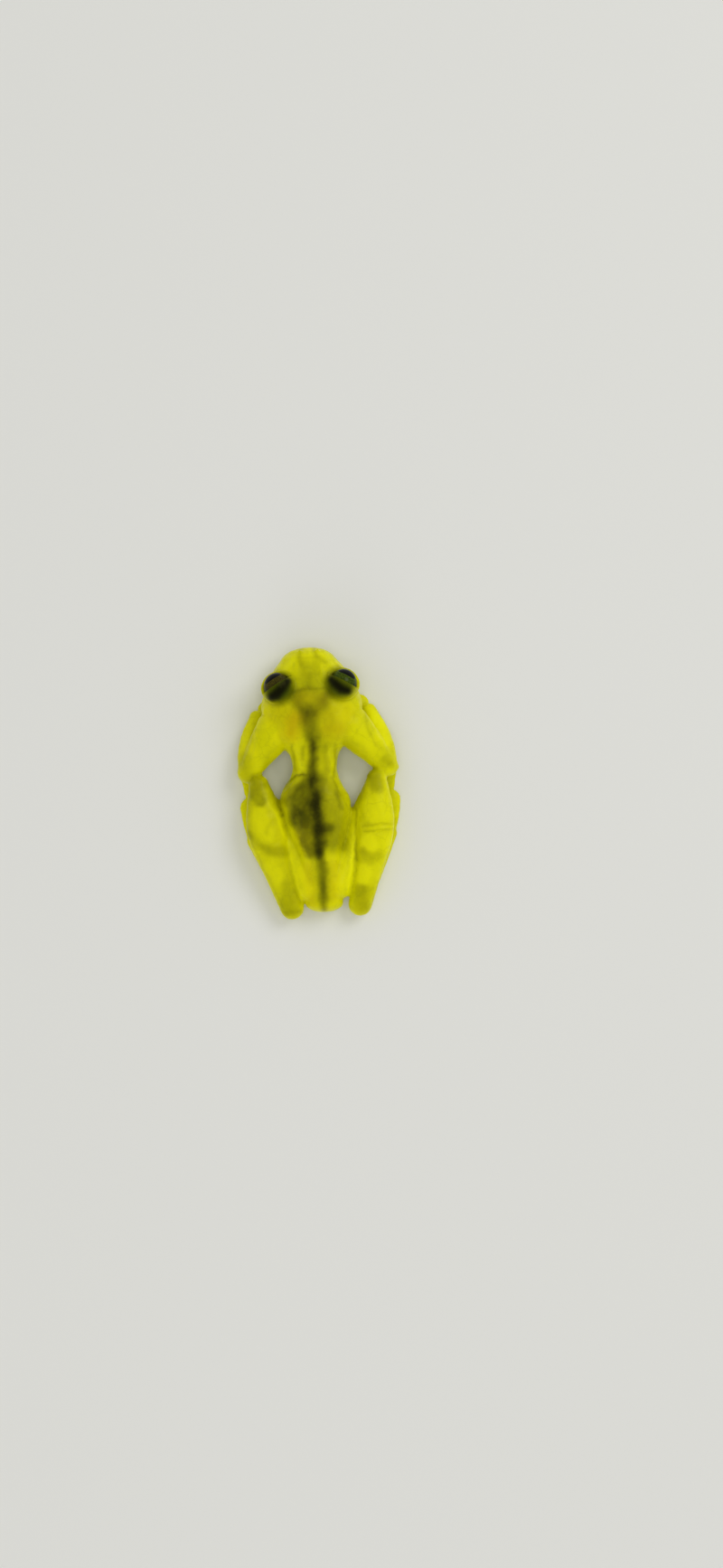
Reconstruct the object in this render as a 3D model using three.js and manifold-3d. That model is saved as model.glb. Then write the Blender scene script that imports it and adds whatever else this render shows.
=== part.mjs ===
// A glass frog asleep in its daytime pose: flat on its belly, arms folded beside the head with the
// hands under the throat, hind legs folded against the flanks with the feet under the shanks.
// Millimetres. +Z is up, the snout points to -Y, and the frog's left side is +X.
// Lengths along the body are measured from the tip of the snout, sideways from the backbone, and
// heights from the ground, so the last lines move the whole animal onto the frame's origin.
import * as THREE from "three";
import { mergeVertices } from "three/addons/utils/BufferGeometryUtils.js";
import Module from "manifold-3d";

const wasm = await Module();
wasm.setup();

// Driving dimensions
const GAP = 0.25; // between the faces of two parts that touch
const EYE_GAP = 0.12; // between an eyeball and its socket
const MID_LENGTH = 12.81; // snout tip to the middle of the whole length
const AXIS_OFFSET = 0.27; // backbone to the middle of the whole width, as the right leg lies wider

// Head and torso are one form: at each length, the half width, the back's height, the height
// where it is widest, the belly's height, and how far the middle leans to the left.
const TRUNK = [
  { y: 0.0, wide: 2.0, top: 4.15, mid: 3.05, low: 2.1, lean: 0.1 },
  { y: 1.0, wide: 2.45, top: 4.6, mid: 2.9, low: 1.6, lean: 0.12 },
  { y: 2.2, wide: 3.35, top: 5, mid: 2.8, low: 1.3, lean: 0.08 },
  { y: 3.8, wide: 4.15, top: 5.35, mid: 2.75, low: 1.1, lean: 0 },
  { y: 5.3, wide: 4.68, top: 5.5, mid: 2.7, low: 1, lean: 0 },
  { y: 6.6, wide: 4.6, top: 5.5, mid: 2.75, low: 0.95, lean: 0 },
  { y: 8.2, wide: 4.1, top: 5.4, mid: 2.8, low: 0.55, lean: 0 },
  { y: 9.8, wide: 2.5, top: 5.2, mid: 2.65, low: 0.15, lean: 0 },
  { y: 11.2, wide: 2.1, top: 5.05, mid: 2.5, low: -0.05, lean: 0.05 },
  { y: 12.2, wide: 2.3, top: 5, mid: 2.35, low: -0.1, lean: 0.15 },
  { y: 13.2, wide: 2.85, top: 5, mid: 2.25, low: -0.12, lean: 0.35 },
  { y: 14.6, wide: 3.35, top: 4.95, mid: 2.15, low: -0.12, lean: 0.18 },
  { y: 16.8, wide: 2.95, top: 4.75, mid: 2.05, low: -0.12, lean: 0.1 },
  { y: 19.5, wide: 2.1, top: 4.2, mid: 1.9, low: -0.05, lean: 0 },
  { y: 22.5, wide: 1.8, top: 3.6, mid: 1.85, low: 0.1, lean: 0 },
  { y: 25.1, wide: 1.8, top: 3.05, mid: 1.7, low: 0.5, lean: -0.2 },
];
const SNOUT_ROUND = 0.95; // length over which the snout rounds off
const RUMP_ROUND = 0.85;
const TRUNK_SQUARENESS = 2.3; // 2 is an oval section, more is squarer
const NECK_AT = 6.7; // length at which head and torso part

const EYE = { x: 3.05, y: 3.6, z: 4.75, r: 1.33 };
// The lids' ball, how far ahead of the eye's centre they meet, and the heights in degrees to
// which the lower and upper lid reach, on a line that looks out by so many from the snout.
const LID = { r: 1.64, hinge: 0.12, lower: -26, upper: 84, out: 30 };
const CHEEK = { x: 3.3, y: 4.4, z: 3.45, radii: [1.2, 1.75, 1.15] };
const NOSTRIL = { x: 0.8, y: 0.52, z: 3.95, rim: 0.3, pit: [0.13, 0.2, 0.13], ahead: 0.22, above: 0.18 };
// The mouth's height at the snout, how it dips on its way to the corners, half the height of the
// line between the lips, and how far that line reaches in.
const MOUTH = { z: 2.4, drop: 0.015, corner: 5.9, half: 0.07, deep: 0.4 };
// Each lip's thickness and its distance from the line of the mouth, and how far round the head the
// lips run, in degrees from straight ahead, seen from a point on the backbone.
const LIP = { r: 0.2, apart: 0.23, inset: 0.08, turn: 113, from: 3.6, steps: 22 };
const EARDRUM = { x: 4.3, y: 5.8, z: 3.6, r: 0.5, raised: 0.3 };

// Joints of each limb. x is the distance from the backbone.
const SIDES = {
  left: {
    sign: 1,
    shoulder: [3.55, 7.7, 3.2],
    elbow: [6.4, 11.5, 2.1],
    wrist: [5.3, 6.3, 0.95],
    palm: [4.1, 5.75],
    hip: [1.3, 22.6, 1.95],
    knee: [5.45, 12.74, 2.62],
    ankle: [2.98, 24.5, 1.62],
    heel: [3.3, 24.1, 0.75],
    instep: [6.15, 17.9, 0.56],
    toeRoot: [6.42, 14.4],
  },
  right: {
    sign: -1,
    shoulder: [3.6, 7.7, 3.2],
    elbow: [6.85, 11.6, 2.1],
    wrist: [5.4, 6.25, 0.95],
    palm: [4.35, 5.65],
    hip: [1.4, 22.6, 1.95],
    knee: [5.75, 12.74, 2.62],
    ankle: [3.5, 24.5, 1.62],
    heel: [3.95, 24.0, 0.75],
    instep: [6.62, 17.9, 0.56],
    toeRoot: [6.95, 14.4],
  },
};

// Half widths and half heights along each limb, from its body end to its far end, and how far
// its middle bows outwards and upwards from the straight line.
const UPPER_ARM = { wide: [1.9, 1.65, 1.3, 1.02], high: [1.5, 1.35, 1.15, 1.0], bow: [0.1, 0.1] };
const FOREARM = { wide: [0.98, 1.15, 1.05, 0.72], high: [0.95, 1.0, 0.85, 0.55], bow: [0.14, 0.1] };
const THIGH = { wide: [1.45, 1.35, 1.2, 0.85], high: [1.6, 1.4, 1.2, 0.9], bow: [0.0, -0.8] };
const SHANK = {
  wide: [0.97, 1.5, 1.8, 1.72, 1.4, 1.24, 1.14],
  high: [0.95, 1.12, 1.2, 1.15, 1.02, 0.92, 0.95],
  bow: [0.5, 0.4],
};
const TARSUS = { wide: [0.78, 0.75, 0.76, 0.8], high: [0.72, 0.62, 0.58, 0.56], bow: [0.06, -0.02] };

const DIGIT = { wide: 0.26, high: 0.27, arch: 0.06, z: 0.27 };
const DISC = { wide: 0.47, long: 0.4, high: 0.25, z: 0.22 };
// Each digit's length, and its turn in degrees from straight ahead towards the midline.
const HAND_TURN = 62;
const FINGERS = [
  { long: 2.0, turn: 48 },
  { long: 2.2, turn: 22 },
  { long: 3.0, turn: -4 },
  { long: 2.5, turn: -34 },
];
const PALM = { long: 1.15, wide: 1.05, high: 0.42, sunk: 0.04, fingersFrom: 0.55 };
const TOES = [
  { long: 1.9, turn: 30 },
  { long: 2.8, turn: 19 },
  { long: 3.6, turn: 9 },
  { long: 4.5, turn: 0 },
  { long: 2.7, turn: -12 },
];
// The sole from under the instep to the roots of the toes, as a limb's half widths and heights.
const SOLE = { z: 0.35, wide: [0.8, 0.95, 0.98], high: [0.42, 0.38, 0.34], bow: [0, 0] };
const WEB = { share: 0.62, hollow: 0.2, thick: 0.45 };

// Making and joining solids
function solid(geometry) {
  const bare = geometry.clone();
  bare.deleteAttribute("normal");
  bare.deleteAttribute("uv");
  const merged = mergeVertices(bare, 1e-5);
  return new wasm.Manifold(
    new wasm.Mesh({
      numProp: 3,
      vertProperties: new Float32Array(merged.attributes.position.array),
      triVerts: new Uint32Array(merged.index.array),
    }),
  );
}

function joined(...pieces) {
  return pieces.reduce((whole, piece) => whole.add(piece));
}

function without(body, ...cutters) {
  return cutters.reduce((rest, cutter) => rest.subtract(cutter), body);
}

// The largest of the closed bodies that a cut leaves.
function largest(body) {
  const bodies = body.decompose();
  return bodies.reduce((a, b) => (a.volume() > b.volume() ? a : b));
}

function block(low, high) {
  const size = high.map((value, i) => value - low[i]);
  const middle = high.map((value, i) => (value + low[i]) / 2);
  return solid(new THREE.BoxGeometry(...size).translate(...middle));
}

function ball([x, y, z], radii, sides = 16, rings = 10) {
  const geometry = new THREE.SphereGeometry(1, sides, rings).scale(...radii);
  return solid(geometry.translate(x, y, z));
}

// A smooth run of values through the given ones, read at 0 to 1.
function smoothRun(values) {
  const points = values.map((value) => new THREE.Vector3(value, 0, 0));
  const curve = new THREE.CatmullRomCurve3(points, false, "catmullrom", 0.5);
  return (share) => curve.getPoint(share).x;
}

// How full a rounded end is, at a distance from its tip.
function fullness(distance, length) {
  const left = 1 - Math.min(1, Math.max(0, distance / length));
  return Math.sqrt(1 - left * left);
}

// A sphere's points, each as its share of the way along and its direction round the axis, moved
// by place(share, across, up) to their own places.
function wrapped(sides, rings, place) {
  const geometry = new THREE.SphereGeometry(1, sides, rings);
  const position = geometry.attributes.position;
  for (let i = 0; i < position.count; i++) {
    const height = position.getY(i);
    const round = Math.hypot(position.getX(i), position.getZ(i)) || 1;
    const moved = place((1 - height) / 2, position.getX(i) / round, position.getZ(i) / round);
    position.setXYZ(i, ...moved);
  }
  return solid(geometry);
}

function rounded(value, squareness) {
  return Math.sign(value) * Math.abs(value) ** (2 / squareness);
}

const TRUNK_END = TRUNK[TRUNK.length - 1].y;
const TRUNK_RUNS = Object.fromEntries(
  Object.keys(TRUNK[0]).map((key) => [key, smoothRun(TRUNK.map((station) => station[key]))]),
);

// The trunk's sizes at a share of its length, and how full it is there.
function section(share) {
  const sizes = Object.fromEntries(Object.entries(TRUNK_RUNS).map(([key, run]) => [key, run(share)]));
  sizes.full = Math.min(fullness(sizes.y, SNOUT_ROUND), fullness(TRUNK_END - sizes.y, RUMP_ROUND));
  return sizes;
}

// The value between low and high at which a test turns from true to false.
function turningPoint(low, high, test) {
  for (let i = 0; i < 24; i++) {
    const middle = (low + high) / 2;
    if (test(middle)) low = middle;
    else high = middle;
  }
  return low;
}

function insideTrunk(x, y, z) {
  const { wide, top, mid, low, lean, full } = section(turningPoint(0, 1, (share) => TRUNK_RUNS.y(share) < y));
  const half = z > mid ? top - mid : mid - low;
  const across = Math.abs(x - lean) / (full * wide);
  const up = Math.abs(z - mid) / (full * half);
  return y > 0 && across ** TRUNK_SQUARENESS + up ** TRUNK_SQUARENESS < 1;
}

// Head and torso together, made larger all round by grow.
function trunk(grow = 0) {
  return wrapped(28, 42, (share, across, up) => {
    const { y, wide, top, mid, low, lean, full } = section(share);
    const half = up > 0 ? top - mid : mid - low;
    const stretch = (y - TRUNK_END / 2) / (TRUNK_END / 2);
    return [
      lean - (full * wide + grow) * rounded(across, TRUNK_SQUARENESS),
      y + grow * stretch,
      mid + (full * half + grow) * rounded(up, TRUNK_SQUARENESS),
    ];
  });
}

// A limb from one joint to the next, with round ends, made thicker all round by grow.
function limb(side, from, to, form, sides = 14, rings = 14, grow = 0) {
  const a = new THREE.Vector3(side.sign * from[0], from[1], from[2]);
  const b = new THREE.Vector3(side.sign * to[0], to[1], to[2]);
  const length = a.distanceTo(b);
  const ahead = b.clone().sub(a).normalize();
  const across = new THREE.Vector3(0, 0, 1).cross(ahead).normalize();
  const up = ahead.clone().cross(across);
  const outwards = new THREE.Vector3(side.sign * Math.abs(ahead.y), 0, 0);
  const wideAt = smoothRun(form.wide);
  const highAt = smoothRun(form.high);
  const startRound = form.wide[0] + grow;
  const endRound = form.wide[form.wide.length - 1] + grow;
  const whole = length + startRound + endRound;
  return wrapped(sides, rings, (share, acrossShare, upShare) => {
    const distance = share * whole;
    const at = Math.min(1, Math.max(0, (distance - startRound) / length));
    const full = Math.min(fullness(distance, startRound), fullness(whole - distance, endRound));
    const bow = Math.sin(Math.PI * at);
    const point = a.clone().addScaledVector(ahead, distance - startRound);
    point.addScaledVector(outwards, form.bow[0] * bow);
    point.z += form.bow[1] * bow;
    point.addScaledVector(across, full * (wideAt(at) + grow) * acrossShare);
    point.addScaledVector(up, full * (highAt(at) + grow) * upShare);
    return point.toArray();
  });
}

// Head
function eyeball(sign, grow = 0) {
  const r = EYE.r + grow;
  return ball([sign * EYE.x, EYE.y, EYE.z], [r, r, r], 18, 12);
}

// The ball of skin round an eye, open from corner to corner between the lids.
function lids(sign) {
  const out = THREE.MathUtils.degToRad(LID.out);
  const ahead = new THREE.Vector3(sign * Math.sin(out), -Math.cos(out), 0);
  const up = new THREE.Vector3(0, 0, 1);
  const far = 3 * LID.r;
  const opening = new THREE.Shape();
  opening.moveTo(LID.hinge, 0);
  for (const reach of [LID.lower, LID.upper]) {
    const angle = THREE.MathUtils.degToRad(reach);
    opening.lineTo(LID.hinge + far * Math.cos(angle), far * Math.sin(angle));
  }
  opening.closePath();
  const wedge = new THREE.ExtrudeGeometry(opening, { depth: 4 * LID.r, bevelEnabled: false });
  wedge.translate(0, 0, -2 * LID.r);
  wedge.applyMatrix4(new THREE.Matrix4().makeBasis(ahead, up, ahead.clone().cross(up)));
  wedge.translate(sign * EYE.x, EYE.y, EYE.z);
  const whole = ball([sign * EYE.x, EYE.y, EYE.z], [LID.r, LID.r, LID.r], 20, 14);
  return without(whole, solid(wedge));
}

function mouthHeight(y) {
  const back = Math.max(0, y);
  return MOUTH.z - MOUTH.drop * back * (MOUTH.corner - back);
}

// A lip, raised on the head from one corner of the mouth round the snout to the other.
function lip(above) {
  const points = [];
  for (let i = 0; i <= LIP.steps; i++) {
    const share = (2 * i) / LIP.steps - 1;
    const turn = THREE.MathUtils.degToRad(share * LIP.turn);
    const at = (far) => {
      const y = LIP.from - Math.cos(turn) * far;
      return [Math.sin(turn) * far, y, mouthHeight(y) + above];
    };
    const reach = turningPoint(0, 8, (far) => insideTrunk(...at(far)));
    points.push(new THREE.Vector3(...at(reach - LIP.inset - LIP.r * share ** 8)));
  }
  const round = new THREE.Shape().absarc(0, 0, LIP.r, 0, 2 * Math.PI);
  const path = new THREE.CatmullRomCurve3(points);
  const options = { extrudePath: path, steps: 2 * LIP.steps, curveSegments: 3, bevelEnabled: false };
  return solid(new THREE.ExtrudeGeometry(round, options));
}

// The line of the mouth: a thin bent plate that reaches a little way into the head.
function mouthLine() {
  const plate = new THREE.BoxGeometry(12, MOUTH.corner + 1, 2 * MOUTH.half, 2, 12, 1);
  plate.translate(0, (MOUTH.corner - 1) / 2, MOUTH.z);
  const position = plate.attributes.position;
  for (let i = 0; i < position.count; i++) {
    position.setZ(i, position.getZ(i) - MOUTH.z + mouthHeight(position.getY(i)));
  }
  return without(solid(plate), trunk(-MOUTH.deep));
}

function nostril(sign) {
  const { x, y, z, rim, pit, ahead, above } = NOSTRIL;
  return {
    rim: ball([sign * x, y, z], [rim, rim, rim], 10, 8),
    pit: ball([sign * x, y - ahead, z + above], pit, 8, 6),
  };
}

function eardrum(sign) {
  const { x, y, z, r, raised } = EARDRUM;
  return ball([sign * x, y, z], [raised, r, r], 12, 8);
}

function headAndTorso() {
  let body = joined(trunk(), lip(LIP.apart), lip(-LIP.apart));
  for (const sign of [1, -1]) {
    const cheek = ball([sign * CHEEK.x, CHEEK.y, CHEEK.z], CHEEK.radii, 14, 10);
    body = joined(body, cheek, lids(sign), nostril(sign).rim, eardrum(sign));
  }
  body = without(body, mouthLine());
  for (const sign of [1, -1]) {
    body = without(body, eyeball(sign, EYE_GAP), nostril(sign).pit);
  }
  return body;
}

// Hands and feet
// A finger or toe that lies on the ground, from its root towards a direction in degrees that
// turns from straight ahead (-Y) towards the midline, with a disc at its tip.
function digit(side, root, { long }, turn) {
  const angle = THREE.MathUtils.degToRad(turn);
  const tip = [root[0] - Math.sin(angle) * long, root[1] - Math.cos(angle) * long, DIGIT.z];
  const form = { wide: [DIGIT.wide, DIGIT.wide], high: [DIGIT.high, DIGIT.high], bow: [0, DIGIT.arch] };
  const stem = limb(side, [root[0], root[1], DIGIT.z], tip, form, 6, 5);
  const disc = ball([0, 0, DISC.z], [DISC.wide, DISC.long, DISC.high], 8, 6)
    .rotate([0, 0, side.sign * turn])
    .translate([side.sign * tip[0], tip[1], 0]);
  return { solid: joined(stem, disc), tip };
}

function hand(side) {
  const turn = THREE.MathUtils.degToRad(HAND_TURN);
  const palm = ball([0, 0, 0], [PALM.wide, PALM.long, PALM.high], 14, 8)
    .rotate([0, 0, side.sign * HAND_TURN])
    .translate([side.sign * side.palm[0], side.palm[1], PALM.high - PALM.sunk]);
  const root = [
    side.palm[0] - PALM.fingersFrom * PALM.long * Math.sin(turn),
    side.palm[1] - PALM.fingersFrom * PALM.long * Math.cos(turn),
  ];
  const fingers = FINGERS.map((finger) => digit(side, root, finger, HAND_TURN + finger.turn).solid);
  return joined(palm, ...fingers);
}

// The skin between two neighbouring toes.
function web(side, root, tipA, tipB) {
  const inner = (tip) => [
    side.sign * (root[0] + (tip[0] - root[0]) * WEB.share),
    root[1] + (tip[1] - root[1]) * WEB.share,
  ];
  const start = [side.sign * root[0], root[1]];
  const a = inner(tipA);
  const b = inner(tipB);
  const hollow = start.map((value, i) => WEB.hollow * value + ((1 - WEB.hollow) * (a[i] + b[i])) / 2);
  const outline = new THREE.Shape();
  outline.moveTo(...start);
  outline.lineTo(...a);
  outline.quadraticCurveTo(...hollow, ...b);
  outline.closePath();
  return solid(
    new THREE.ExtrudeGeometry(outline, { depth: WEB.thick, bevelEnabled: false, curveSegments: 2 }),
  );
}

function foot(side) {
  const root = side.toeRoot;
  const heelEnd = [side.instep[0], side.instep[1] - SOLE.wide[0] / 2, SOLE.z];
  const toeEnd = [root[0], root[1] + SOLE.wide[2] / 2, SOLE.z];
  const sole = limb(side, heelEnd, toeEnd, SOLE, 12, 10);
  const toes = TOES.map((toe) => digit(side, root, toe, toe.turn));
  const webs = toes.slice(1).map((toe, i) => web(side, root, toes[i].tip, toe.tip));
  return joined(sole, ...toes.map((toe) => toe.solid), ...webs);
}

// The whole animal
const SKIN = new THREE.MeshStandardMaterial({ color: 0xc3c32a, roughness: 0.4, metalness: 0 });
const LIMB_SKIN = new THREE.MeshStandardMaterial({ color: 0xcfd034, roughness: 0.4, metalness: 0 });
const EYE_SURFACE = new THREE.MeshStandardMaterial({ color: 0x14160a, roughness: 0.08, metalness: 0 });

const frog = new THREE.Group();
const ground = block([-12, -4, -3], [12, 30, 0]);

function addPart(name, body, material) {
  const { vertProperties, triVerts, numProp, numVert } = largest(without(body, ground)).getMesh();
  const positions = new Float32Array(numVert * 3);
  for (let i = 0; i < numVert; i++) {
    positions.set(vertProperties.subarray(i * numProp, i * numProp + 3), i * 3);
  }
  const geometry = new THREE.BufferGeometry();
  geometry.setAttribute("position", new THREE.BufferAttribute(positions, 3));
  geometry.setIndex(new THREE.BufferAttribute(new Uint32Array(triVerts), 1));
  geometry.computeVertexNormals();
  const mesh = new THREE.Mesh(geometry, material);
  mesh.name = name;
  mesh.position.set(AXIS_OFFSET, -MID_LENGTH, 0);
  frog.add(mesh);
}

function addLimbs(name, side, body) {
  const upperArm = (grow) => limb(side, side.shoulder, side.elbow, UPPER_ARM, 14, 12, grow);
  const forearm = (grow) => limb(side, side.elbow, side.wrist, FOREARM, 12, 12, grow);
  const thigh = (grow) => limb(side, side.hip, side.knee, THIGH, 14, 14, grow);
  const shank = (grow) => limb(side, side.knee, side.ankle, SHANK, 16, 18, grow);
  const tarsus = (grow) => limb(side, side.heel, side.instep, TARSUS, 10, 10, grow);
  const parts = {
    upper_arm: without(upperArm(0), body, shank(GAP)),
    forearm: without(forearm(0), body, upperArm(GAP), shank(GAP)),
    hand: without(hand(side), body, forearm(GAP), upperArm(GAP)),
    thigh: without(thigh(0), body, shank(GAP), upperArm(GAP)),
    shank: without(shank(0), body),
    tarsus: without(tarsus(0), shank(GAP), thigh(GAP), body),
    foot: without(foot(side), tarsus(GAP), shank(GAP), thigh(GAP), upperArm(GAP), forearm(GAP)),
  };
  for (const [part, made] of Object.entries(parts)) {
    addPart(`${part}_${name}`, made, LIMB_SKIN);
  }
}

const body = headAndTorso();
const bodyWithGap = trunk(GAP);
const FAR = 40;
addPart("head", without(body, block([-FAR, NECK_AT - GAP / 2, -FAR], [FAR, FAR, FAR])), SKIN);
addPart("torso", without(body, block([-FAR, -FAR, -FAR], [FAR, NECK_AT + GAP / 2, FAR])), SKIN);
for (const [name, side] of Object.entries(SIDES)) {
  addPart(`eye_${name}`, eyeball(side.sign), EYE_SURFACE);
  addLimbs(name, side, bodyWithGap);
}

export default frog;
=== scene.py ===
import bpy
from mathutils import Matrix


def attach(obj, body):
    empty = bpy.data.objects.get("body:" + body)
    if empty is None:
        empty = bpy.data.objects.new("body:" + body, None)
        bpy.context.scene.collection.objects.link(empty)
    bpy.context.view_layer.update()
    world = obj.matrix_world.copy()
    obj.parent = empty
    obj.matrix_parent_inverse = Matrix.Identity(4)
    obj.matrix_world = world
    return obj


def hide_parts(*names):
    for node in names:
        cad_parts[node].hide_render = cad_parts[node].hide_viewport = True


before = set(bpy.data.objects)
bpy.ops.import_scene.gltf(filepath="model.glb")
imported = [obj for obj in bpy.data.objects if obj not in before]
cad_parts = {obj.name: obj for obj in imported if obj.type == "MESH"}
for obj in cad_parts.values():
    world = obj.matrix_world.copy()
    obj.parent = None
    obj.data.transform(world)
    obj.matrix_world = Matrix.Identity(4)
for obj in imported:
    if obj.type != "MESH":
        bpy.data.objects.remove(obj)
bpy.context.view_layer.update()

import math

import bmesh
import bpy
import numpy as np
from mathutils import Matrix, Vector, noise

MM = 0.001
MID_LENGTH = 12.81  # snout tip to the middle of the whole length
AXIS_OFFSET = 0.27  # backbone to the middle of the whole width

# Sizes, in millimetres

# Head and torso: along the body, half width, back, widest height, belly, and lean to the left.
TRUNK = [
    (0, 2.0, 4.15, 3.05, 2.1, 0.1),
    (1, 2.45, 4.6, 2.9, 1.6, 0.12),
    (2.2, 3.35, 5, 2.8, 1.3, 0.08),
    (3.8, 4.15, 5.35, 2.75, 1.1, 0),
    (5.3, 4.68, 5.5, 2.7, 1, 0),
    (6.6, 4.6, 5.5, 2.75, 0.95, 0),
    (8.2, 4.1, 5.4, 2.8, 0.55, 0),
    (9.8, 2.5, 5.2, 2.65, 0.15, 0),
    (11.2, 2.1, 5.05, 2.5, -0.05, 0.05),
    (12.2, 2.3, 5, 2.35, -0.1, 0.15),
    (13.2, 2.85, 5, 2.25, -0.12, 0.35),
    (14.6, 3.35, 4.95, 2.15, -0.12, 0.18),
    (16.8, 2.95, 4.75, 2.05, -0.12, 0.1),
    (19.5, 2.1, 4.2, 1.9, -0.05, 0),
    (22.5, 1.8, 3.6, 1.85, 0.1, 0),
    (25.1, 1.8, 3.05, 1.7, 0.5, -0.2),
]
SNOUT_ROUND = 0.95
RUMP_ROUND = 0.85
TRUNK_SQUARENESS = 2.3
END_SHARE = 0.05  # how small the trunk's first and last rings are

EYE_AT = (3.05, 3.6, 4.75)
EYE_RADIUS = 1.33
CORNEA_BULGE = 0.05
GAZE_OUT, GAZE_UP = 30, 34  # degrees outwards from the snout, and above level
LID_RADIUS, LID_HINGE = 1.64, 0.12  # the lids' ball, and how far ahead of its centre they meet
LID_LOWER, LID_UPPER = -26, 84  # degrees above level that the lids reach
PAST_LID = 0.12  # how far the cut between the lids reaches past their ball
SOCKET_GAP = 0.02  # between an eyeball and the skin round it
CHEEK_AT, CHEEK_RADII = (3.3, 4.4, 3.45), (1.2, 1.75, 1.15)
NOSTRIL_AT = (0.8, 0.52, 3.95)
MOUTH_HEIGHT, MOUTH_DROP, MOUTH_CORNER = 2.4, 0.015, 5.9
MOUTH_INSIDE, MOUTH_GAP = (4.25, 5.5), 0.07  # half width and length of what stays closed inside
LIP_TALL, LIP_AWAY, LIP_REACH = 0.12, 0.24, 0.16  # how far the lips swell, and where
EARDRUM_AT, EARDRUM_RADIUS = (4.3, 5.8, 3.6), 0.5

LIMBS = {
    1: {
        "shoulder": (3.55, 7.7, 3.2), "elbow": (6.4, 11.5, 2.1),
        "wrist": (5.3, 6.3, 0.95), "palm": (4.1, 5.75),
        "hip": (1.3, 22.6, 1.95), "knee": (5.45, 12.74, 2.62),
        "ankle": (2.98, 24.5, 1.62), "heel": (3.3, 24.1, 0.75),
        "instep": (6.15, 17.9, 0.56), "toe_root": (6.42, 14.4),
    },
    -1: {
        "shoulder": (3.6, 7.7, 3.2), "elbow": (6.85, 11.6, 2.1),
        "wrist": (5.4, 6.25, 0.95), "palm": (4.35, 5.65),
        "hip": (1.4, 22.6, 1.95), "knee": (5.75, 12.74, 2.62),
        "ankle": (3.5, 24.5, 1.62), "heel": (3.95, 24.0, 0.75),
        "instep": (6.62, 17.9, 0.56), "toe_root": (6.95, 14.4),
    },
}
# Half widths and half heights along each limb, and how far it bows outwards and upwards.
UPPER_ARM = ((1.9, 1.65, 1.3, 1.02), (1.5, 1.35, 1.15, 1.0), 0.1, 0.1)
FOREARM = ((0.98, 1.15, 1.05, 0.72), (0.95, 1.0, 0.85, 0.55), 0.14, 0.1)
THIGH = ((1.45, 1.35, 1.2, 0.85), (1.6, 1.4, 1.2, 0.9), 0, -0.8)
SHANK = ((0.97, 1.5, 1.8, 1.72, 1.4, 1.24, 1.14), (0.95, 1.12, 1.2, 1.15, 1.02, 0.92, 0.95), 0.5, 0.4)
TARSUS = ((0.78, 0.75, 0.76, 0.8), (0.72, 0.62, 0.58, 0.56), 0.06, -0.02)

DIGIT_HEIGHT = 0.27
DIGIT_WIDTHS = (0.3, 0.25, 0.3, 0.23, 0.27, 0.22)  # wider at each knuckle
DIGIT_FLATNESS, DIGIT_ARCH = 0.95, 0.06
DISC = (0.47, 0.25)  # half width and half thickness
DISC_SUNK = 0.03  # how far a disc is pressed flat on the ground
PALM_HEIGHT, PALM_RADII = 0.38, (1.05, 1.15, 0.42)
FINGER_ROOT = 0.63  # ahead of the middle of the palm
HAND_TURN = 62
FINGERS = ((2.0, 48), (2.2, 22), (3.0, -4), (2.5, -34))  # length, turn towards the midline
TOES = ((1.9, 30), (2.8, 19), (3.6, 9), (4.5, 0), (2.7, -12))
WEB_SHARE, WEB_HEIGHT, WEB_THICK = 0.62, 0.12, 0.3
SOLE = ((0.8, 0.95, 0.98), (0.42, 0.38, 0.34), 0, 0)
SOLE_HEIGHT = 0.35

VOXEL = 0.125  # grain of the fused skin


# Shaping

def smooth_run(values, share):
    """The value at a share of 0 to 1 along a smooth run through the given ones."""
    last = len(values) - 1
    at = min(max(share, 0), 1) * last
    i = min(int(at), last - 1)
    t = at - i
    before = values[i - 1] if i else 2 * values[0] - values[1]
    after = values[i + 2] if i + 2 <= last else 2 * values[last] - values[last - 1]
    a, b = values[i], values[i + 1]
    lean_a, lean_b = (b - before) / 2, (after - a) / 2
    cubic = 2 * a - 2 * b + lean_a + lean_b
    square = 3 * b - 3 * a - 2 * lean_a - lean_b
    return cubic * t**3 + square * t**2 + lean_a * t + a


def fullness(distance, length):
    """How full a rounded end is at a distance from its tip."""
    left = 1 - min(1, max(0, distance / length))
    return math.sqrt(1 - left * left)


def grown(bm, section, rings, sides, squareness=2):
    """A closed body grown from one ring, extruded from section to section along its length.
    section(share) gives the matrices that place the unit ring's upper and lower halves."""
    ring = bmesh.ops.create_circle(bm, segments=sides, radius=1)["verts"]
    for v in ring:
        x, z = (math.copysign(abs(c) ** (2 / squareness), c) for c in v.co.xy)
        v.co = (x, 0, z)
    upper = [v.co.z >= 0 for v in ring]
    edges = list({e for v in ring for e in v.link_edges})
    placed = (Matrix(), Matrix())
    ends = []
    for i in range(1, rings):
        share = (1 - math.cos(math.pi * i / rings)) / 2
        wanted = section(share)
        if i > 1:
            index = {v: k for k, v in enumerate(ring)}
            made = bmesh.ops.extrude_edge_only(bm, edges=edges)["geom"]
            fresh = {g for g in made if isinstance(g, bmesh.types.BMVert)}
            follower = {}
            for v in fresh:
                old = next(e.other_vert(v) for e in v.link_edges if e.other_vert(v) in index)
                follower[index[old]] = v
            ring = [follower[k] for k in range(len(ring))]
            edges = [e for e in {e for v in ring for e in v.link_edges} if set(e.verts) <= fresh]
        else:
            ends.append(edges)
        for half, is_upper in enumerate((True, False)):
            move = wanted[half] @ placed[half].inverted()
            bmesh.ops.transform(bm, matrix=move, verts=[v for v, up in zip(ring, upper) if up == is_upper])
        placed = wanted
    ends.append(edges)
    for end in ends:
        bmesh.ops.contextual_create(bm, geom=end)


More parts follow.
